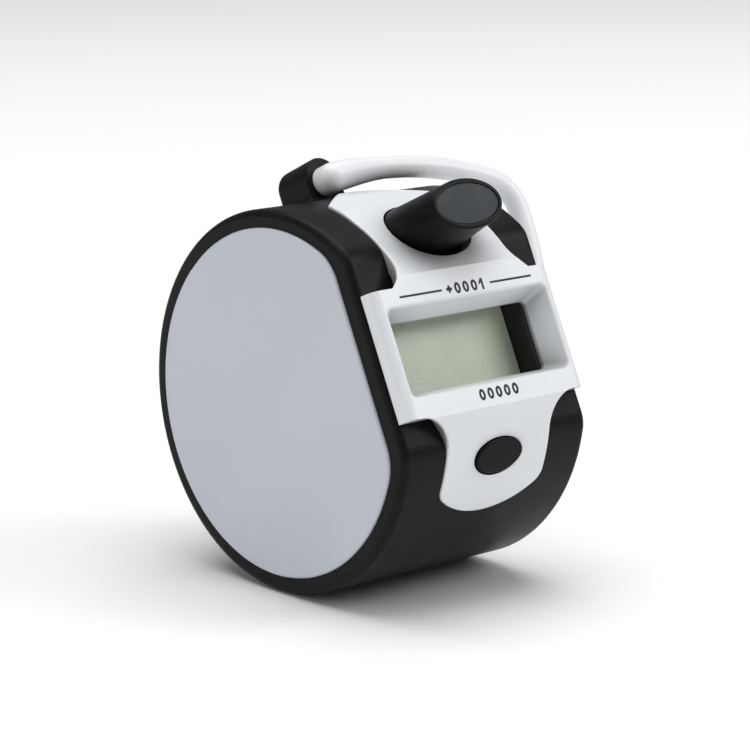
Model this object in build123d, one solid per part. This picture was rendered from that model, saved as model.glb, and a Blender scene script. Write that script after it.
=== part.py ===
from build123d import *
from math import cos, sin, radians
import os

# Hand tally counter. Millimetres and degrees.
#
# Everything is modelled in a working frame whose origin is the middle of the drum's axis: X runs along the
# axis to the right, -Y is "front" (out of the display) and +Z is up along the display. place() then leans
# the whole counter back and puts the origin at the middle of the left side plate's outer face.

# Drum
LEAN = 25.5
DRUM_RADIUS = 21.0
HALF_WIDTH = 13.3
FRONT_FLAT = 17.9
RIM_ROUND = 0.8
WALL = 2.1
END_WALL = 1.8
CORNER_ROUND = 3.5

# Side plates, let into the ends of the drum
PLATE_RADIUS = 19.05
PLATE_FLAT = 15.6
PLATE_CORNER = 5.5
PLATE_THICKNESS = 1.2
PLATE_SINK = 0.9
PLATE_GAP = 0.08

# Front panel and the raised frame round the display
LOWER_SKIN_RADIUS = 21.15
UPPER_SKIN_RADIUS = 21.4
UPPER_SKIN_BACK = 0.35
UPPER_SKIN_RAISE = 0.2
SKIN_THICKNESS = 1.4
SKIN_EDGE_ROUND = 0.25
PANEL_GAP = 0.05
FRAME_HALF_WIDTH = 12.9
FRAME_TOP = 6.45
FRAME_BOTTOM = -7.45
FRAME_FRONT = 19.7
FRAME_SIDE_ROUND = 1.3
MOUTH_ROUND = 0.35
RECESS_HALF_WIDTH = 11.5
RECESS_TOP = 4.4
RECESS_BOTTOM = -5.2
WINDOW_HALF_WIDTH = 10.15
WINDOW_TOP = 3.25
WINDOW_BOTTOM = -4.5
WINDOW_FRONT = 17.2
WINDOW_BACK = 16.7
CORE_HALF_WIDTH = 11.5
CORE_TOP = 5.3
CORE_BOTTOM = -6.3
LOWER_TONGUE_ANGLE = -38.0
UPPER_TONGUE_ANGLE = 45.0
LOWER_TONGUE_HALF = 7.5
LOWER_SHOULDER = 6.1
LOWER_TOE = -6.2
LOWER_FLARE = 3.6
UPPER_TONGUE_HALF = 8.1
UPPER_SHOULDER = -9.7
UPPER_CORNER = 5.0
UPPER_TIP = 10.4
UPPER_FLARE = 3.2

# Display, behind the window
LCD_FRONT = 13.9
LCD_HALF_WIDTH = 9.6
LCD_HALF_HEIGHT = 4.6
LCD_MIDDLE = -0.6
GLASS_THICKNESS = 1.5
FILM_THICKNESS = 0.2
HOLDER_HALF_WIDTH = 10.4
HOLDER_HALF_HEIGHT = 5.5

# Circuit board, square to the display
BOARD_FRONT = 9.2
BOARD_THICKNESS = 1.2
BOARD_HALF_WIDTH = 10.3
BOARD_HALF_HEIGHT = 15.6

# Count button: a tall oval post that slides square to the display
COUNT_HALF_WIDTH = 5.1
COUNT_HALF_HEIGHT = 3.5
COUNT_HEIGHT = 12.75
COUNT_FACE_HALF_WIDTH = 4.93
COUNT_FACE_HALF_HEIGHT = 2.78
COUNT_FACE_HEIGHT = 13.3
COUNT_FRONT = 24.0
COUNT_WAIST = 14.0
COUNT_BACK = 12.4
COUNT_TRAVEL = 1.2

# Reset button: a small oval that follows the drum's curve
RESET_HALF_WIDTH = 3.3
RESET_HALF_HEIGHT = 1.61
RESET_HEIGHT = -12.55
RESET_PROUD = 0.35
RESET_BACK = 12.0
RESET_TRAVEL = 0.8

BUTTON_GAP = 0.15
CONTACT_HEIGHT = 0.4

# Lug and finger loop
LUG_HALF_WIDTH = 2.4
LUG_FRONT = 3.0
LUG_BACK = -2.8
LUG_TOP = 25.8
LUG_FOOT = 1.2
LUG_BACK_ROUND = 0.8
LUG_FRONT_ROUND = 0.25
PIVOT_HEIGHT = 22.9
PIVOT_RADIUS = 1.1
PIVOT_GAP = 0.06
PIVOT_HEAD_RADIUS = 1.6
PIVOT_HEAD_LENGTH = 1.0
BOSS_RADIUS = 1.7
LOOP_PLANE = 4.4
LOOP_ROD_RADIUS = 1.25
BOSS_NECK = ((0, BOSS_RADIUS), (2.5, 1.6), (5.5, 1.38), (9.0, LOOP_ROD_RADIUS))

# Fasteners and cell
SHELL_SCREW_PLACES = [(105, 15.2), (180, 14.4), (-105, 15.2)]
BOARD_SCREW_PLACES = [(8.9, 9.7), (8.9, -9.7)]
CELL_RADIUS = 5.8
CELL_THICKNESS = 5.4


def front_plane(n):
    """Plane square to the display at distance n in front of the drum's axis; local axes are X and Z."""
    return Plane(origin=(0, -n, 0), x_dir=(1, 0, 0), z_dir=(0, -1, 0))


def prism(sketch, back, front):
    """Extrude a sketch drawn in X and Z from one distance in front of the axis to another."""
    return extrude(front_plane(back) * sketch, amount=front - back)


def slab(sketch, left, right):
    """Extrude a sketch drawn in Y and Z along the drum's axis."""
    return extrude(Plane.YZ.offset(left) * sketch, amount=right - left)


def box_sketch(half_width, bottom, top):
    """Rectangle that is symmetric about X = 0."""
    return Pos(0, (bottom + top) / 2) * Rectangle(2 * half_width, top - bottom)


def drum_profile(radius, flat, corner):
    """Disc with a flat cut on its front side, the two corners rounded."""
    outline = Circle(radius) - Pos(-flat - radius, 0) * Rectangle(2 * radius, 2 * radius)
    return fillet(outline.vertices(), corner)


def on_drum(angle, radius):
    """Y and Z of a point at an angle above the front direction."""
    return (-radius * cos(radians(angle)), radius * sin(radians(angle)))


def radial_plane(angle):
    """Plane through the drum's axis that faces outwards at an angle above the front direction."""
    y, z = on_drum(angle, 1)
    return Plane(origin=(0, 0, 0), x_dir=(1, 0, 0), z_dir=(0, y, z))


def place(part):
    """Lean the counter back and move the origin to the left side plate's outer face."""
    return Pos(HALF_WIDTH + PLATE_THICKNESS - PLATE_SINK, 0, 0) * Rot(X=-LEAN) * part


# Front panel ------------------------------------------------------------------------------------------

def tongue_strip():
    """Half-width of the strip that ties a tongue into the frame, inside the frame's rounded sides."""
    return FRAME_HALF_WIDTH - FRAME_SIDE_ROUND


def round_inner_corners(face, half, shoulder, radius):
    """Curve the two inner corners where a tongue's sides meet the strip."""
    inner = [v for v in face.vertices() if abs(abs(v.X) - half) < 0.01 and abs(v.Y - shoulder) < 0.01]
    return fillet(inner, radius)


def lower_tongue_outline():
    """Outline of the panel below the display, drawn on the plane that faces the reset button."""
    half = LOWER_TONGUE_HALF
    wide = tongue_strip()
    shoulder = LOWER_SHOULDER
    inside = shoulder + 1.2
    corner = LOWER_TOE + 3
    outline = Polyline((half, corner), (half, shoulder), (wide, shoulder), (wide, inside),
                       (-wide, inside), (-wide, shoulder), (-half, shoulder), (-half, corner))
    bottom = ThreePointArc((half, corner), (0, LOWER_TOE), (-half, corner))
    face = round_inner_corners(make_face(outline + bottom), half, shoulder, LOWER_FLARE)
    toes = [v for v in face.vertices() if abs(v.Y - corner) < 0.01]
    return fillet(toes, 2.0)


def upper_tongue_outline():
    """Outline of the panel above the display, drawn on the plane that faces the drum's upper front."""
    half = UPPER_TONGUE_HALF
    wide = tongue_strip()
    shoulder = UPPER_SHOULDER
    inside = shoulder - 1.2
    corner = UPPER_CORNER
    outline = Polyline((half - 0.5, corner), (half, 0), (half, shoulder), (wide, shoulder), (wide, inside),
                       (-wide, inside), (-wide, shoulder), (-half, shoulder), (-half, 0),
                       (0.5 - half, corner), (-1.2, UPPER_TIP), (1.2, UPPER_TIP), (half - 0.5, corner))
    face = round_inner_corners(make_face(outline), half, shoulder, UPPER_FLARE)
    corners = [v for v in face.vertices() if abs(v.Y - corner) < 0.01 or abs(v.Y - UPPER_TIP) < 0.01]
    return fillet(corners, 0.9)


def tongue(outline, angle, radius, back, raised, grow):
    """The part of a curved skin inside an outline; grow makes the pocket that takes it."""
    ring = Circle(radius + 4 * grow) - Circle(radius - SKIN_THICKNESS - grow)
    skin = slab(Pos(back, raised) * ring, -HALF_WIDTH - 1, HALF_WIDTH + 1)
    if grow:
        outline = offset(outline, grow)
    solid = skin & extrude(radial_plane(angle) * outline, amount=radius + 4)
    if not grow:
        outer = solid.faces().sort_by(lambda f: f.center().Y ** 2 + f.center().Z ** 2)[-1]
        solid = fillet(outer.edges(), SKIN_EDGE_ROUND)
    return solid


def lower_tongue(grow):
    return tongue(lower_tongue_outline(), LOWER_TONGUE_ANGLE, LOWER_SKIN_RADIUS, 0, 0, grow)


def upper_tongue(grow):
    """Its skin is set a little back and up, so that it stands further proud of the drum at the rear."""
    return tongue(upper_tongue_outline(), UPPER_TONGUE_ANGLE, UPPER_SKIN_RADIUS,
                  UPPER_SKIN_BACK, UPPER_SKIN_RAISE, grow)


def display_recess():
    """Sloping sink in the frame, wide at the front and as small as the window at the back."""
    mouth = front_plane(FRAME_FRONT) * fillet(
        box_sketch(RECESS_HALF_WIDTH, RECESS_BOTTOM, RECESS_TOP).vertices(), 0.7)
    throat = front_plane(WINDOW_FRONT) * fillet(
        box_sketch(WINDOW_HALF_WIDTH, WINDOW_BOTTOM, WINDOW_TOP).vertices(), 0.5)
    return loft([mouth.face(), throat.face()])


def count_hole(clearance):
    return Pos(0, COUNT_HEIGHT) * Ellipse(COUNT_HALF_WIDTH + clearance, COUNT_HALF_HEIGHT + clearance)


def reset_hole(clearance):
    return Pos(0, RESET_HEIGHT) * Ellipse(RESET_HALF_WIDTH + clearance, RESET_HALF_HEIGHT + clearance)


def front_panel():
    """White panel in one piece: the frame, its two tongues, and the recess, window and button holes."""
    frame = prism(box_sketch(FRAME_HALF_WIDTH, FRAME_BOTTOM, FRAME_TOP), FRONT_FLAT + PANEL_GAP, FRAME_FRONT)
    core = prism(box_sketch(CORE_HALF_WIDTH, CORE_BOTTOM, CORE_TOP), WINDOW_BACK, FRONT_FLAT + 1)
    section = Pos(0, -FRAME_FRONT / 2) * Rectangle(2 * FRAME_HALF_WIDTH, FRAME_FRONT)
    section = fillet(section.vertices().sort_by(Axis.Y)[0:2], FRAME_SIDE_ROUND)
    reach = DRUM_RADIUS + 1
    column = extrude(Plane.XY.offset(-reach) * section, amount=2 * reach)
    panel = core + ((frame + lower_tongue(0) + upper_tongue(0)) & column)
    panel -= display_recess()
    mouth = []
    for edge in panel.edges():
        middle = edge.center()
        inside = abs(middle.X) < RECESS_HALF_WIDTH + 0.1 and RECESS_BOTTOM - 0.1 < middle.Z < RECESS_TOP + 0.1
        if inside and abs(middle.Y + FRAME_FRONT) < 0.01:
            mouth.append(edge)
    panel = fillet(mouth, MOUTH_ROUND)
    window = fillet(box_sketch(WINDOW_HALF_WIDTH, WINDOW_BOTTOM, WINDOW_TOP).vertices(), 0.5)
    panel -= prism(window, WINDOW_BACK - 1, WINDOW_FRONT + 0.01)
    panel -= prism(count_hole(BUTTON_GAP), 2, FRAME_FRONT + 5)
    panel -= prism(reset_hole(BUTTON_GAP), 2, FRAME_FRONT + 5)
    return panel


# Shells -----------------------------------------------------------------------------------------------

def lug_solid():
    """Round-topped block on the drum's top that holds the finger loop, with curved feet at its sides."""
    radius = LUG_HALF_WIDTH
    root = DRUM_RADIUS - 2.5
    top_centre = LUG_TOP - radius
    face = box_sketch(radius, root, top_centre) + Pos(0, top_centre) * Circle(radius)
    block = prism(face, LUG_BACK, LUG_FRONT)
    rear = block.faces().sort_by(Axis.Y)[-1].edges()
    block = fillet([e for e in rear if e.center().Z > DRUM_RADIUS], LUG_BACK_ROUND)
    foot_top = DRUM_RADIUS - 0.3 + LUG_FOOT
    feet = box_sketch(radius + LUG_FOOT, root, foot_top)
    for side in (-1, 1):
        feet -= Pos(side * (radius + LUG_FOOT), foot_top) * Circle(LUG_FOOT)
    block += prism(feet, LUG_BACK + LUG_BACK_ROUND, LUG_FRONT)
    rim = block.faces().sort_by(Axis.Y)[0].edges()
    return fillet([e for e in rim if e.center().Z > DRUM_RADIUS + LUG_FOOT], LUG_FRONT_ROUND)


def lug_bore():
    """Through hole for the loop's pin, with a wider pocket at the back for its head."""
    pin = Pos(0, PIVOT_HEIGHT) * Circle(PIVOT_RADIUS + PIVOT_GAP)
    head = Pos(0, PIVOT_HEIGHT) * Circle(PIVOT_HEAD_RADIUS + PIVOT_GAP)
    head_front = LUG_BACK + PIVOT_HEAD_LENGTH + 0.35
    return prism(pin, LUG_BACK - 1, LUG_FRONT + 1) + prism(head, LUG_BACK - 1, head_front + 0.05)


def drum_half(left, right):
    """One half of the drum between two positions along the axis, still without its details."""
    outer = slab(drum_profile(DRUM_RADIUS, FRONT_FLAT, CORNER_ROUND), -HALF_WIDTH, HALF_WIDTH)
    ends = outer.faces().filter_by(Axis.X)
    outer = fillet(ends.edges(), RIM_ROUND)
    inner_profile = drum_profile(DRUM_RADIUS - WALL, FRONT_FLAT - WALL, CORNER_ROUND - 1)
    cavity_end = HALF_WIDTH - PLATE_SINK - END_WALL
    outer -= slab(inner_profile, -cavity_end, cavity_end)
    plate = drum_profile(PLATE_RADIUS + PLATE_GAP, PLATE_FLAT + PLATE_GAP, PLATE_CORNER)
    outer -= slab(plate, -HALF_WIDTH - 1, -HALF_WIDTH + PLATE_SINK)
    outer -= slab(plate, HALF_WIDTH - PLATE_SINK, HALF_WIDTH + 1)
    outer += lug_solid() - slab(Circle(DRUM_RADIUS - 0.5), -HALF_WIDTH, HALF_WIDTH)
    outer -= lug_bore()
    outer -= lower_tongue(PANEL_GAP)
    outer -= upper_tongue(PANEL_GAP)
    core_hole = box_sketch(CORE_HALF_WIDTH + PANEL_GAP, CORE_BOTTOM - PANEL_GAP, CORE_TOP + PANEL_GAP)
    outer -= prism(core_hole, 2, 30)
    outer -= prism(count_hole(BUTTON_GAP + 0.1), 2, 30)
    outer -= prism(reset_hole(BUTTON_GAP + 0.1), 2, 30)
    bosses = []
    for angle, radius in SHELL_SCREW_PLACES:
        y, z = on_drum(angle, radius)
        bosses.append(slab(Pos(y, z) * Circle(2.3), -cavity_end, cavity_end))
    for x, z in BOARD_SCREW_PLACES:
        for side in (-1, 1):
            bosses.append(prism(Pos(side * x, z) * Circle(1.4), BOARD_FRONT, FRONT_FLAT - WALL + 0.6))
    for boss in bosses:
        outer += boss
    for x, z in BOARD_SCREW_PLACES:
        for side in (-1, 1):
            outer -= prism(Pos(side * x, z) * Circle(0.62), BOARD_FRONT - 1, BOARD_FRONT + 5)
    half = slab(Rectangle(80, 80), left, right)
    return outer & half


def left_shell():
    """Left half, with the screw heads' wells under the side plate."""
    shell = drum_half(-HALF_WIDTH - 1, 0)
    for angle, radius in SHELL_SCREW_PLACES:
        y, z = on_drum(angle, radius)
        shell -= slab(Pos(y, z) * Circle(1.1), -HALF_WIDTH - 1, 1)
        shell -= slab(Pos(y, z) * Circle(1.75), -HALF_WIDTH - 1, -HALF_WIDTH + PLATE_SINK + 3)
    return shell


def right_shell():
    """Right half, with blind pilot holes for the screws."""
    shell = drum_half(0, HALF_WIDTH + 1)
    for angle, radius in SHELL_SCREW_PLACES:
        y, z = on_drum(angle, radius)
        shell -= slab(Pos(y, z) * Circle(0.82), -1, 7)
    return shell


def side_plate(side):
    """D-shaped plate, slightly proud of the drum's end, with softened front edges."""
    sketch = drum_profile(PLATE_RADIUS, PLATE_FLAT, PLATE_CORNER)
    inner = HALF_WIDTH - PLATE_SINK
    plate = slab(sketch, inner, inner + PLATE_THICKNESS)
    outer_face = plate.faces().sort_by(Axis.X)[-1]
    plate = fillet(outer_face.edges(), 0.3)
    if side < 0:
        plate = mirror(plate, about=Plane.YZ)
    return plate


# Buttons ----------------------------------------------------------------------------------------------

def count_button():
    """Tall oval post, slimmer and a little higher at its face, with stop wings and a stem inside."""
    height = COUNT_HEIGHT
    foot = Pos(0, height) * Ellipse(COUNT_HALF_WIDTH, COUNT_HALF_HEIGHT)
    face = Pos(0, COUNT_FACE_HEIGHT) * Ellipse(COUNT_FACE_HALF_WIDTH, COUNT_FACE_HALF_HEIGHT)
    waist_plane = front_plane(COUNT_WAIST)
    post = loft([(waist_plane * foot).face(), (front_plane(COUNT_FRONT) * face).face()], ruled=True)
    post = fillet(post.faces().sort_by(Axis.Y)[0].edges(), 0.25)
    post += prism(foot, COUNT_BACK, COUNT_WAIST)
    dish = Pos(0, COUNT_FACE_HEIGHT) * Ellipse(COUNT_FACE_HALF_WIDTH - 0.5, COUNT_FACE_HALF_HEIGHT - 0.5)
    post -= prism(dish, COUNT_FRONT - 0.2, COUNT_FRONT + 1)
    wing_sketch = Pos(0, height - 0.6) * Rectangle(2 * COUNT_HALF_WIDTH + 2.4, 1.8)
    wings = prism(wing_sketch, COUNT_BACK, COUNT_BACK + 1)
    stem_end = BOARD_FRONT + CONTACT_HEIGHT + COUNT_TRAVEL + 0.05
    stem = prism(Pos(0, height) * Circle(1.1), stem_end, COUNT_BACK + 0.5)
    return post + wings + stem


def reset_button():
    """Small oval whose face follows the drum, with stop wings and a stem."""
    oval = Pos(0, RESET_HEIGHT) * Ellipse(RESET_HALF_WIDTH, RESET_HALF_HEIGHT)
    post = prism(oval, RESET_BACK, FRAME_FRONT + 5)
    post &= slab(Circle(LOWER_SKIN_RADIUS + RESET_PROUD), -HALF_WIDTH, HALF_WIDTH)
    post = fillet(post.edges().sort_by(Axis.Y)[0], 0.2)
    wing_sketch = Pos(0, RESET_HEIGHT + 0.5) * Rectangle(2 * RESET_HALF_WIDTH + 2, 1.4)
    wings = prism(wing_sketch, RESET_BACK, RESET_BACK + 0.8)
    stem_end = BOARD_FRONT + CONTACT_HEIGHT + RESET_TRAVEL + 0.05
    stem = prism(Pos(0, RESET_HEIGHT) * Circle(0.8), stem_end, RESET_BACK + 0.5)
    return post + wings + stem


def coil_spring(height, radius, wire, back, front, turns):
    """Return spring between the board and a button, its ends a little clear of both."""
    length = front - back - 2 * wire - 0.04
    path = Helix(pitch=length / turns, height=length, radius=radius)
    section = Plane(origin=path @ 0, z_dir=path % 0) * Circle(wire)
    coil = sweep(section, path=path)
    plane = Plane(origin=(0, -(back + wire + 0.02), height), x_dir=(1, 0, 0), z_dir=(0, -1, 0))
    return plane * coil


def contact_dome(height, radius):
    """Snap dome on the board under a button's stem."""
    disc = prism(Pos(0, height) * Circle(radius), BOARD_FRONT, BOARD_FRONT + CONTACT_HEIGHT)
    return chamfer(disc.faces().sort_by(Axis.Y)[0].edges(), 0.2)


# Display and board ------------------------------------------------------------------------------------

def lcd_sketch(margin=0.0):
    half_height = LCD_HALF_HEIGHT + margin
    return box_sketch(LCD_HALF_WIDTH + margin, LCD_MIDDLE - half_height, LCD_MIDDLE + half_height)


def lcd_holder():
    """Dark tray that carries the display on the board and walls in the space behind the window."""
    outer = box_sketch(HOLDER_HALF_WIDTH, LCD_MIDDLE - HOLDER_HALF_HEIGHT, LCD_MIDDLE + HOLDER_HALF_HEIGHT)
    tray = prism(outer, BOARD_FRONT, WINDOW_BACK)
    lip = lcd_sketch(-0.5)
    tray -= prism(lcd_sketch(0.1), LCD_FRONT - GLASS_THICKNESS - 2 * FILM_THICKNESS - 0.05, WINDOW_BACK)
    tray -= prism(lip, BOARD_FRONT, LCD_FRONT)
    return tray


def lcd_layers():
    """Front film, glass and reflector of the display, one behind the other."""
    glass_front = LCD_FRONT - FILM_THICKNESS
    glass_back = glass_front - GLASS_THICKNESS
    film = prism(box_sketch(LCD_HALF_WIDTH, LCD_MIDDLE - LCD_HALF_HEIGHT + 0.7, LCD_MIDDLE + LCD_HALF_HEIGHT),
                 glass_front, LCD_FRONT)
    glass = prism(lcd_sketch(), glass_back, glass_front)
    reflector = prism(lcd_sketch(), glass_back - FILM_THICKNESS, glass_back)
    return film, glass, reflector


def contact_strip():
    """Rubber strip that joins the display's edge to the board."""
    lcd_back = LCD_FRONT - 2 * FILM_THICKNESS - GLASS_THICKNESS
    return prism(Pos(0, LCD_MIDDLE - 3.0) * Rectangle(16, 1.6), BOARD_FRONT, lcd_back)


def circuit_board():
    """Board with clipped corners and its screw holes."""
    outline = box_sketch(BOARD_HALF_WIDTH, -BOARD_HALF_HEIGHT, BOARD_HALF_HEIGHT)
    outline = chamfer(outline.vertices(), 2.5)
    board = prism(outline, BOARD_FRONT - BOARD_THICKNESS, BOARD_FRONT)
    for x, z in BOARD_SCREW_PLACES:
        for side in (-1, 1):
            board -= prism(Pos(side * x, z) * Circle(0.9), BOARD_FRONT - 3, BOARD_FRONT + 1)
    return board


def screw(head_radius, head_length, shank_radius, shank_length):
    """Pan-head screw along +Z with a cross slot; the head's underside is at the origin."""
    head = Pos(0, 0, -head_length / 2) * Cylinder(head_radius, head_length)
    head = fillet(head.faces().sort_by(Axis.Z)[0].edges(), head_length * 0.4)
    shank = Pos(0, 0, shank_length / 2) * Cylinder(shank_radius, shank_length)
    shank = chamfer(shank.faces().sort_by(Axis.Z)[-1].edges(), shank_radius * 0.4)
    slot = Box(head_radius * 1.2, head_radius * 0.25, head_length * 0.9)
    cross = slot + Rot(Z=90) * slot
    return head + shank - Pos(0, 0, -head_length) * cross


def shell_screws():
    """Long screws from the left end that pull the two shells together."""
    seat = -HALF_WIDTH + PLATE_SINK + 3
    screws = []
    for angle, radius in SHELL_SCREW_PLACES:
        y, z = on_drum(angle, radius)
        screws.append(Plane(origin=(seat, y, z), z_dir=(1, 0, 0)) * screw(1.6, 1.2, 0.8, 15))
    return Compound(screws)


def board_screws():
    """Short screws that hold the board to the posts inside the shells."""
    back = BOARD_FRONT - BOARD_THICKNESS
    screws = []
    for x, z in BOARD_SCREW_PLACES:
        for side in (-1, 1):
            seat = Plane(origin=(side * x, -back, z), z_dir=(0, -1, 0))
            screws.append(seat * screw(1.35, 0.8, 0.6, 5))
    return Compound(screws)


# Cell and small parts behind the board ----------------------------------------------------------------

CELL_FRONT = BOARD_FRONT - BOARD_THICKNESS - 0.8


def button_cell():
    """Button cell with its narrower negative cap towards the board."""
    can = prism(Circle(CELL_RADIUS), CELL_FRONT - CELL_THICKNESS, CELL_FRONT - 0.5)
    can = fillet(can.edges().filter_by(GeomType.CIRCLE), 0.4)
    cap = prism(Circle(CELL_RADIUS - 1), CELL_FRONT - 1, CELL_FRONT)
    return can + cap


def negative_contact():
    """Flat spring plate between the cell's cap and the board."""
    board_back = BOARD_FRONT - BOARD_THICKNESS
    strip = prism(Rectangle(3.5, 9), CELL_FRONT, CELL_FRONT + 0.3)
    foot = prism(Pos(0, 4) * Rectangle(3.5, 1), CELL_FRONT, board_back)
    return strip + foot


def positive_contact():
    """Strap round the back of the cell, soldered to the board at both sides."""
    board_back = BOARD_FRONT - BOARD_THICKNESS
    cell_back = CELL_FRONT - CELL_THICKNESS
    reach = CELL_RADIUS + 0.4
    strap = prism(Rectangle(2 * reach, 3), cell_back - 0.35, cell_back)
    legs = prism(Pos(reach - 0.15, 0) * Rectangle(0.3, 3), cell_back - 0.35, board_back)
    legs += prism(Pos(0.15 - reach, 0) * Rectangle(0.3, 3), cell_back - 0.35, board_back)
    return strap + legs


def chip_cover():
    """Low epoxy dome over the bonded chip."""
    back = BOARD_FRONT - BOARD_THICKNESS
    disc = prism(Pos(0, -10.4) * Circle(2.8), back - 1.1, back)
    return fillet(disc.faces().sort_by(Axis.Y)[-1].edges(), 0.9)


def clock_crystal():
    """Tuning-fork crystal lying on the board."""
    back = BOARD_FRONT - BOARD_THICKNESS
    can = Pos(0, 1.0 - back, 11.5) * Rot(Y=90) * Cylinder(1.0, 6)
    return fillet(can.edges().filter_by(GeomType.CIRCLE), 0.2)


def capacitor():
    """Small chip capacitor beside the chip."""
    back = BOARD_FRONT - BOARD_THICKNESS
    return prism(Pos(6, -10.4) * Rectangle(2.0, 1.25), back - 0.8, back)


# Finger loop ------------------------------------------------------------------------------------------

def finger_loop():
    """Round rod: a boss and pin at the lug, an arm over the drum, a corner and a side arm that curls in."""
    start = (0, PIVOT_HEIGHT)
    crown = (11.5, PIVOT_HEIGHT + 0.15)
    shoulder = (22.9, 20.45)
    outer = (26.05, 16.2)
    tail = (18.6, -5.6)
    arm = ThreePointArc(start, crown, shoulder)
    bend = TangentArc(shoulder, outer, tangent=arm % 1)
    side = TangentArc(outer, tail, tangent=bend % 1)
    path = front_plane(LOOP_PLANE) * (arm + bend + side)
    section = Plane(origin=path @ 0, z_dir=path % 0) * Circle(LOOP_ROD_RADIUS)
    rod = sweep(section, path=path)
    boss = prism(Pos(0, PIVOT_HEIGHT) * Circle(BOSS_RADIUS), LUG_FRONT + PIVOT_GAP, LOOP_PLANE)
    elbow = Pos(0, -LOOP_PLANE, PIVOT_HEIGHT) * Sphere(BOSS_RADIUS)
    tip = Pos(tail[0], -LOOP_PLANE, tail[1]) * Sphere(LOOP_ROD_RADIUS)
    pin = prism(Pos(0, PIVOT_HEIGHT) * Circle(PIVOT_RADIUS), LUG_BACK + 0.15, LOOP_PLANE)
    head = prism(Pos(0, PIVOT_HEIGHT) * Circle(PIVOT_HEAD_RADIUS), LUG_BACK + 0.15,
                 LUG_BACK + 0.15 + PIVOT_HEAD_LENGTH)
    sections = []
    for distance, radius in BOSS_NECK:
        share = distance / path.length
        sections.append(Plane(origin=path @ share, z_dir=path % share) * Circle(radius))
    neck = loft([section.face() for section in sections]) + elbow
    clear_of_lug = Pos(0, PIVOT_HEIGHT) * Circle(3 * PIVOT_HEIGHT)
    neck &= prism(clear_of_lug, LUG_FRONT + PIVOT_GAP, LOOP_PLANE + 2 * BOSS_RADIUS)
    return rod + boss + neck + tip + pin + head


film, glass, reflector = lcd_layers()

nodes = {
    "left_shell": left_shell(),
    "right_shell": right_shell(),
    "left_side_plate": side_plate(-1),
    "right_side_plate": side_plate(1),
    "front_panel": front_panel(),
    "lcd_holder": lcd_holder(),
    "lcd_film": film,
    "lcd_glass": glass,
    "lcd_reflector": reflector,
    "contact_strip": contact_strip(),
    "circuit_board": circuit_board(),
    "chip_cover": chip_cover(),
    "clock_crystal": clock_crystal(),
    "capacitor": capacitor(),
    "count_contact": contact_dome(COUNT_HEIGHT, 1.9),
    "count_spring": coil_spring(COUNT_HEIGHT, 2.3, 0.18, BOARD_FRONT, COUNT_BACK, 3),
    "count_button": count_button(),
    "reset_contact": contact_dome(RESET_HEIGHT, 1.2),
    "reset_spring": coil_spring(RESET_HEIGHT, 1.45, 0.13, BOARD_FRONT, RESET_BACK, 4),
    "reset_button": reset_button(),
    "button_cell": button_cell(),
    "positive_contact": positive_contact(),
    "negative_contact": negative_contact(),
    "shell_screws": shell_screws(),
    "board_screws": board_screws(),
    "finger_loop": finger_loop(),
}

os.makedirs("parts", exist_ok=True)
for name, part in nodes.items():
    export_step(place(part), f"parts/{name}.step")
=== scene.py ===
import bpy
import bmesh
import math
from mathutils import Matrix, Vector


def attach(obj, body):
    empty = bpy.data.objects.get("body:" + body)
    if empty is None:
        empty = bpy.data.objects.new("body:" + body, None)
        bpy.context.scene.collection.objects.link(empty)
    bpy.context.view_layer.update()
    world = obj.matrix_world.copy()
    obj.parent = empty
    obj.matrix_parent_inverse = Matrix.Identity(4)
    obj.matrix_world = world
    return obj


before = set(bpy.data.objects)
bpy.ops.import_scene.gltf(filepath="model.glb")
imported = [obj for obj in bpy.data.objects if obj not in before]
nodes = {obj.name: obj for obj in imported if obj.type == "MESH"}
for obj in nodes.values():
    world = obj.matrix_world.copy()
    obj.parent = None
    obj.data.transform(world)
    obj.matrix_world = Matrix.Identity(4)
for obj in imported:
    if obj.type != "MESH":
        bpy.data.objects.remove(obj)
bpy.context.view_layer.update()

# Working frame of the counter, as in the CAD: x along the drum's axis, n out of the display, u up along it.
LEAN = math.radians(25.5)
HALF_LENGTH = 0.0136
FORWARD = Vector((0, -math.cos(LEAN), math.sin(LEAN)))
UPWARD = Vector((0, math.sin(LEAN), math.cos(LEAN)))
FRAME_FRONT = 19.7
FLOOR_Z = -0.0211


def at(x, u, n):
    """Row-frame point, in metres, of a working-frame point in millimetres."""
    return Vector((x / 1000 + HALF_LENGTH, 0, 0)) + UPWARD * (u / 1000) + FORWARD * (n / 1000)


# Materials --------------------------------------------------------------------------------------------

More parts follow.
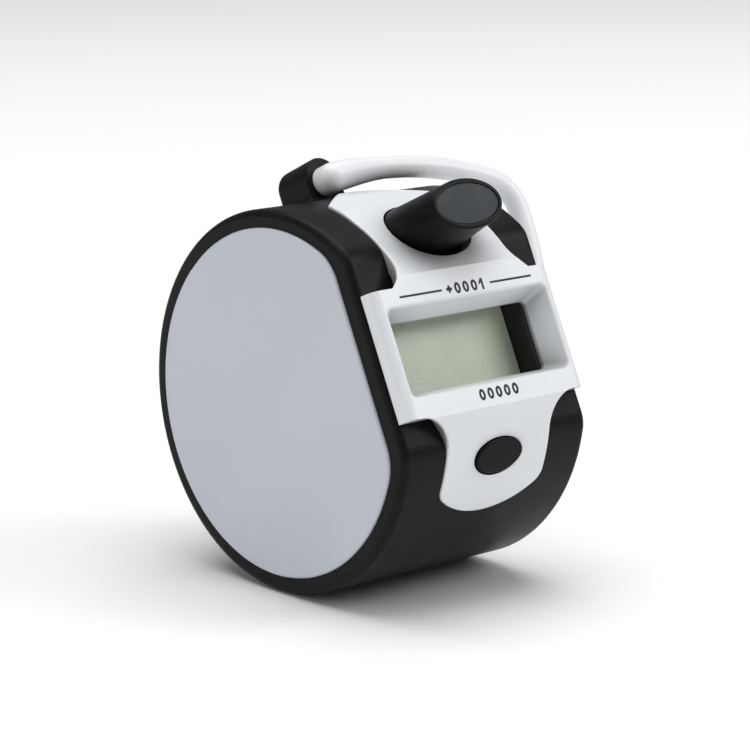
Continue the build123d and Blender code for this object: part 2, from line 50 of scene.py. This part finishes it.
class Shader:
    """Small helper that builds one node material."""

    def __init__(self, name):
        self.material = bpy.data.materials.new(name)
        self.material.use_nodes = True
        self.tree = self.material.node_tree
        self.surface = self.tree.nodes["Principled BSDF"]
        self.place = self.add("ShaderNodeTexCoord")

    def add(self, kind, **values):
        node = self.tree.nodes.new(kind)
        for key, value in values.items():
            setattr(node, key, value)
        return node

    def link(self, source, target):
        self.tree.links.new(source, target)

    def noise(self, scale, detail=3.0, roughness=0.5, stretch=(1, 1, 1)):
        """Noise in object coordinates, in metres; scale is features per metre."""
        mapping = self.add("ShaderNodeMapping")
        mapping.inputs["Scale"].default_value = stretch
        self.link(self.place.outputs["Object"], mapping.inputs["Vector"])
        texture = self.add("ShaderNodeTexNoise")
        texture.inputs["Scale"].default_value = scale
        texture.inputs["Detail"].default_value = detail
        texture.inputs["Roughness"].default_value = roughness
        self.link(mapping.outputs["Vector"], texture.inputs["Vector"])
        return texture.outputs["Fac"]

    def span(self, source, low, high, from_low=0.3, from_high=0.7):
        """Maps a factor to a range of numbers."""
        node = self.add("ShaderNodeMapRange")
        node.inputs["From Min"].default_value = from_low
        node.inputs["From Max"].default_value = from_high
        node.inputs["To Min"].default_value = low
        node.inputs["To Max"].default_value = high
        self.link(source, node.inputs["Value"])
        return node.outputs["Result"]

    def blend(self, source, first, second):
        """Mixes two colours by a factor."""
        node = self.add("ShaderNodeMix", data_type="RGBA")
        self.link(source, node.inputs["Factor"])
        node.inputs["A"].default_value = (*first, 1)
        node.inputs["B"].default_value = (*second, 1)
        return node.outputs["Result"]

    def bump(self, source, strength, distance):
        node = self.add("ShaderNodeBump")
        node.inputs["Strength"].default_value = strength
        node.inputs["Distance"].default_value = distance
        self.link(source, node.inputs["Height"])
        self.link(node.outputs["Normal"], self.surface.inputs["Normal"])

    def set(self, **values):
        for key, value in values.items():
            self.surface.inputs[key.replace("_", " ")].default_value = value


def moulded_plastic(name, dark, light, rough_low, rough_high, grain=9000, bump=0.03, shine=0.5):
    """Injection-moulded plastic: slight colour drift, uneven gloss and a very fine surface grain."""
    shader = Shader(name)
    drift = shader.noise(90, 2)
    shader.link(shader.blend(shader.span(drift, 0, 1), dark, light), shader.surface.inputs["Base Color"])
    gloss = shader.noise(420, 1)
    shader.link(shader.span(gloss, rough_low, rough_high), shader.surface.inputs["Roughness"])
    shader.bump(shader.noise(grain, 2), bump, 0.00002)
    shader.set(IOR=1.49, Specular_IOR_Level=shine)
    return shader.material


def shade_creases(material, shade, reach):
    """Painted shade: darkens the base colour softly in corners and recesses, within reach of another
    surface.
    """
    tree = material.node_tree
    surface = tree.nodes["Principled BSDF"]
    plain = surface.inputs["Base Color"].links[0].from_socket
    nearness = tree.nodes.new("ShaderNodeAmbientOcclusion")
    nearness.samples = 16
    nearness.inputs["Distance"].default_value = reach
    openness = tree.nodes.new("ShaderNodeMapRange")
    openness.inputs["From Min"].default_value = 0.4
    openness.inputs["From Max"].default_value = 1.0
    tree.links.new(nearness.outputs["AO"], openness.inputs["Value"])
    mix = tree.nodes.new("ShaderNodeMix")
    mix.data_type = "RGBA"
    mix.inputs["A"].default_value = (*shade, 1)
    tree.links.new(openness.outputs["Result"], mix.inputs["Factor"])
    tree.links.new(plain, mix.inputs["B"])
    tree.links.new(mix.outputs["Result"], surface.inputs["Base Color"])


def metal(name, dark, light, rough_low, rough_high, stretch=(1, 1, 1)):
    """Plated or drawn metal with faint streaks."""
    shader = Shader(name)
    streaks = shader.noise(2400, 3, 0.6, stretch)
    shader.link(shader.blend(shader.span(streaks, 0, 1), dark, light), shader.surface.inputs["Base Color"])
    shader.link(shader.span(streaks, rough_low, rough_high), shader.surface.inputs["Roughness"])
    shader.bump(streaks, 0.1, 0.00002)
    shader.set(Metallic=1.0)
    return shader.material


def lcd_material():
    """Blank display film: grey-green with a faint even mottle, under a smooth polariser."""
    shader = Shader("lcd_film")
    mottle = shader.noise(160, 3)
    colour = shader.blend(shader.span(mottle, 0, 1), (0.64, 0.71, 0.55), (0.66, 0.73, 0.57))
    shader.link(colour, shader.surface.inputs["Base Color"])
    shader.link(shader.span(shader.noise(700, 3), 0.24, 0.32), shader.surface.inputs["Roughness"])
    shader.bump(shader.noise(14000, 2), 0.05, 0.00001)
    shader.set(IOR=1.5, Specular_IOR_Level=0.4)
    return shader.material


def board_material():
    """Green solder mask with a fine weave under it."""
    shader = Shader("solder_mask")
    weave = shader.noise(3000, 2, 0.5, (1, 0.3, 0.3))
    colour = shader.blend(shader.span(weave, 0, 1), (0.02, 0.12, 0.05), (0.035, 0.17, 0.07))
    shader.link(colour, shader.surface.inputs["Base Color"])
    shader.link(shader.span(weave, 0.28, 0.4), shader.surface.inputs["Roughness"])
    shader.bump(weave, 0.1, 0.00002)
    return shader.material


BLACK_SHELL = moulded_plastic("black_shell", (0.007, 0.007, 0.0075), (0.009, 0.009, 0.0095), 0.34, 0.40,
                              bump=0.02, shine=0.10)
GREY_PLATE = moulded_plastic("grey_plate", (0.56, 0.59, 0.645), (0.58, 0.61, 0.665), 0.42, 0.52)
WHITE_PANEL = moulded_plastic("white_panel", (0.78, 0.80, 0.83), (0.80, 0.82, 0.85), 0.30, 0.33, bump=0.01)
WHITE_LOOP = moulded_plastic("white_loop", (0.84, 0.85, 0.87), (0.87, 0.88, 0.90), 0.28, 0.36, bump=0.03)
BLACK_BUTTON = moulded_plastic("black_button", (0.005, 0.0055, 0.006), (0.007, 0.0075, 0.008), 0.32, 0.38,
                               bump=0.02, shine=0.10)
BUTTON_FACE = moulded_plastic("button_face", (0.024, 0.029, 0.033), (0.028, 0.034, 0.038), 0.45, 0.55,
                              bump=0.05, shine=0.3)
DARK_TRAY = moulded_plastic("dark_tray", (0.009, 0.010, 0.010), (0.013, 0.013, 0.013), 0.55, 0.7)
EPOXY = moulded_plastic("epoxy", (0.008, 0.008, 0.008), (0.012, 0.012, 0.012), 0.15, 0.3, 2500, 0.3)
RUBBER = moulded_plastic("rubber", (0.07, 0.07, 0.07), (0.10, 0.10, 0.10), 0.7, 0.85, 5000, 0.3)
CERAMIC = moulded_plastic("ceramic", (0.36, 0.25, 0.15), (0.42, 0.30, 0.19), 0.5, 0.65, 5000, 0.2)
LCD_GLASS = moulded_plastic("lcd_glass", (0.30, 0.34, 0.30), (0.34, 0.38, 0.33), 0.08, 0.12, 14000, 0.02)
INK = moulded_plastic("printed_ink", (0.010, 0.010, 0.012), (0.018, 0.018, 0.020), 0.5, 0.65, 12000, 0.2)
STEEL = metal("plated_steel", (0.50, 0.50, 0.50), (0.62, 0.62, 0.61), 0.25, 0.4)
SPRING_WIRE = metal("spring_wire", (0.50, 0.50, 0.51), (0.60, 0.60, 0.61), 0.2, 0.32, (1, 4, 1))
GOLD_CONTACT = metal("contact_plate", (0.66, 0.52, 0.26), (0.76, 0.62, 0.34), 0.22, 0.35)
LCD_FILM = lcd_material()
# Painted shade on the white panel, in its corners, creases and display recess.
shade_creases(WHITE_PANEL, (0.22, 0.22, 0.215), 0.005)
SOLDER_MASK = board_material()

MATERIALS = {
    "left_shell": BLACK_SHELL,
    "right_shell": BLACK_SHELL,
    "left_side_plate": GREY_PLATE,
    "right_side_plate": GREY_PLATE,
    "front_panel": WHITE_PANEL,
    "lcd_holder": DARK_TRAY,
    "lcd_film": LCD_FILM,
    "lcd_glass": LCD_GLASS,
    "lcd_reflector": STEEL,
    "contact_strip": RUBBER,
    "circuit_board": SOLDER_MASK,
    "chip_cover": EPOXY,
    "clock_crystal": STEEL,
    "capacitor": CERAMIC,
    "count_contact": GOLD_CONTACT,
    "count_spring": SPRING_WIRE,
    "count_button": BLACK_BUTTON,
    "reset_contact": GOLD_CONTACT,
    "reset_spring": SPRING_WIRE,
    "reset_button": BLACK_BUTTON,
    "button_cell": STEEL,
    "positive_contact": GOLD_CONTACT,
    "negative_contact": GOLD_CONTACT,
    "shell_screws": STEEL,
    "board_screws": STEEL,
    "finger_loop": WHITE_LOOP,
}
for name, material in MATERIALS.items():
    for slot in nodes[name].material_slots:
        slot.material = material


# Printed marks on the frame ---------------------------------------------------------------------------

MARK_FRONT = FRAME_FRONT + 0.012
MARK_THICKNESS = 0.008


def mark_object(name, strokes):
    """Ink marks from flat strips; each stroke is a list of (x, u) corners of one convex outline."""
    mesh = bmesh.new()
    for corners in strokes:
        front = [mesh.verts.new(at(x, u, MARK_FRONT)) for x, u in corners]
        back = [mesh.verts.new(at(x, u, MARK_FRONT - MARK_THICKNESS)) for x, u in corners]
        mesh.faces.new(front)
        mesh.faces.new(back[::-1])
        for i in range(len(corners)):
            j = (i + 1) % len(corners)
            mesh.faces.new((front[j], front[i], back[i], back[j]))
    bmesh.ops.recalc_face_normals(mesh, faces=mesh.faces)
    data = bpy.data.meshes.new(name)
    mesh.to_mesh(data)
    mesh.free()
    piece = bpy.data.objects.new(name, data)
    bpy.context.scene.collection.objects.link(piece)
    data.materials.append(INK)
    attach(piece, "counter_body")


def bar(x0, x1, u0, u1):
    return [(x0, u0), (x1, u0), (x1, u1), (x0, u1)]


def ring(x, u, half_width, half_height, thick, steps=20):
    """Strips that make an oval ring."""
    strips = []
    for i in range(steps):
        a = 2 * math.pi * i / steps
        b = 2 * math.pi * (i + 1) / steps
        outer = [(x + half_width * math.cos(t), u + half_height * math.sin(t)) for t in (a, b)]
        inner = [(x + (half_width - thick) * math.cos(t), u + (half_height - thick) * math.sin(t))
                 for t in (b, a)]
        strips.append(outer + inner)
    return strips


def numeral_one(x, u, height, thick):
    """A one with a short flag."""
    top = u + height / 2
    stem = bar(x - thick / 2, x + thick / 2, u - height / 2, top)
    flag = [(x - thick / 2, top), (x - thick / 2, top - thick * 1.5), (x - 1.6 * thick, top - thick * 2.4),
            (x - 1.6 * thick, top - thick * 1.5)]
    return [stem, flag]


LINE_HEIGHT = 5.40
LINE_LEFT = (-9.27, -3.31)
LINE_RIGHT = (3.69, 9.8)
COUNT_SIGN_MIDDLE = 0.15
RESET_SIGN_MIDDLE = 0.3
RESET_SIGN_HEIGHT = -6.3
LINE_HALF = 0.11
SIGN_HEIGHT = 1.25
SIGN_THICK = 0.29
SIGN_PITCH = 1.2
RING_HALF = 0.43

for name, (start, end) in (("line_left", LINE_LEFT), ("line_right", LINE_RIGHT)):
    mark_object(name, [bar(start, end, LINE_HEIGHT - LINE_HALF, LINE_HEIGHT + LINE_HALF)])

PLUS_REACH = 0.4


def plus_sign(x, u, reach, thick):
    half = thick / 2
    return [bar(x - reach, x + reach, u - half, u + half), bar(x - half, x + half, u - reach, u + reach)]


def zeros(middle, height, places):
    """Noughts at the given places, counted in pitches from the middle."""
    strips = []
    for place in places:
        strips += ring(middle + place * SIGN_PITCH, height, RING_HALF, SIGN_HEIGHT / 2, SIGN_THICK)
    return strips


count_sign = plus_sign(COUNT_SIGN_MIDDLE - 2 * SIGN_PITCH, LINE_HEIGHT, PLUS_REACH, SIGN_THICK)
count_sign += numeral_one(COUNT_SIGN_MIDDLE + 2 * SIGN_PITCH, LINE_HEIGHT, SIGN_HEIGHT, SIGN_THICK)
count_sign += zeros(COUNT_SIGN_MIDDLE, LINE_HEIGHT, (-1, 0, 1))
mark_object("count_sign", count_sign)
mark_object("reset_sign", zeros(RESET_SIGN_MIDDLE, RESET_SIGN_HEIGHT, (-2, -1, 0, 1, 2)))


# Satin face in the count button's dish -----------------------------------------------------------------

def button_face():
    """Thin oval inlay with a softly rounded edge, lying in the dish of the count button."""
    half_width = 4.38
    half_height = 2.23
    height = 13.3
    steps = 64
    rings = [(1.0, 23.81), (1.0, 23.87), (0.98, 23.91), (0.6, 23.93)]
    mesh = bmesh.new()
    loops = []
    for scale, depth in rings:
        loop = []
        for i in range(steps):
            turn = 2 * math.pi * i / steps
            loop.append(mesh.verts.new(at(scale * half_width * math.cos(turn),
                                          height + scale * half_height * math.sin(turn), depth)))
        loops.append(loop)
    for low_loop, high_loop in zip(loops, loops[1:]):
        for i in range(steps):
            j = (i + 1) % steps
            mesh.faces.new((low_loop[i], low_loop[j], high_loop[j], high_loop[i]))
    mesh.faces.new(loops[-1])
    mesh.faces.new(loops[0][::-1])
    bmesh.ops.recalc_face_normals(mesh, faces=mesh.faces)
    data = bpy.data.meshes.new("count_button_face")
    mesh.to_mesh(data)
    mesh.free()
    data.materials.append(BUTTON_FACE)
    piece = bpy.data.objects.new("count_button_face", data)
    bpy.context.scene.collection.objects.link(piece)
    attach(piece, "count_button")


button_face()


# Floor, light and camera ------------------------------------------------------------------------------

def floor():
    """Large pale disc under the object."""
    mesh = bmesh.new()
    bmesh.ops.create_circle(mesh, cap_ends=True, segments=96, radius=4.0)
    data = bpy.data.meshes.new("floor")
    mesh.to_mesh(data)
    mesh.free()
    plane = bpy.data.objects.new("floor", data)
    plane.location = (HALF_LENGTH, 0, FLOOR_Z)
    bpy.context.scene.collection.objects.link(plane)
    shader = Shader("pale_floor")
    colour = shader.blend(shader.span(shader.noise(3, 2), 0, 1), (0.94, 0.94, 0.94), (0.95, 0.95, 0.95))
    shader.link(colour, shader.surface.inputs["Base Color"])
    shader.set(Roughness=0.9, Specular_IOR_Level=0.1)
    data.materials.append(shader.material)


def area_light(name, place, target, width, height, power):
    light = bpy.data.lights.new(name, "AREA")
    light.shape = "RECTANGLE"
    light.size = width
    light.size_y = height
    light.energy = power
    lamp = bpy.data.objects.new(name, light)
    lamp.location = place
    lamp.rotation_mode = "QUATERNION"
    lamp.rotation_quaternion = (Vector(place) - Vector(target)).to_track_quat("Z", "Y")
    bpy.context.scene.collection.objects.link(lamp)


floor()
MIDDLE = (HALF_LENGTH, 0, 0)
area_light("top_softbox", (0.05, 0.10, 1.00), MIDDLE, 1.2, 1.2, 11.0)
area_light("left_softbox", (-1.00, 0.20, 0.42), MIDDLE, 0.7, 0.7, 1.9)
area_light("right_softbox", (0.70, -0.68, 0.68), MIDDLE, 0.6, 0.6, 4.4)

world = bpy.data.worlds.new("studio")
world.use_nodes = True
world.node_tree.nodes["Background"].inputs["Color"].default_value = (0.93, 0.94, 0.95, 1)
world.node_tree.nodes["Background"].inputs["Strength"].default_value = 0.22
bpy.context.scene.world = world

CAMERA_PLACE = Vector((-0.1953, -0.2358, 0.0701))
CAMERA_AIM = Vector((0.6497, 0.7296, -0.2135))
camera_data = bpy.data.cameras.new("camera")
camera_data.lens = 140.15
camera_data.sensor_width = 36
camera_data.clip_start = 0.01
camera_data.clip_end = 20
camera = bpy.data.objects.new("camera", camera_data)
camera.location = CAMERA_PLACE
camera.rotation_mode = "QUATERNION"
camera.rotation_quaternion = CAMERA_AIM.to_track_quat("-Z", "Y")
bpy.context.scene.collection.objects.link(camera)
bpy.context.scene.camera = camera
bpy.context.scene.view_settings.view_transform = "Standard"
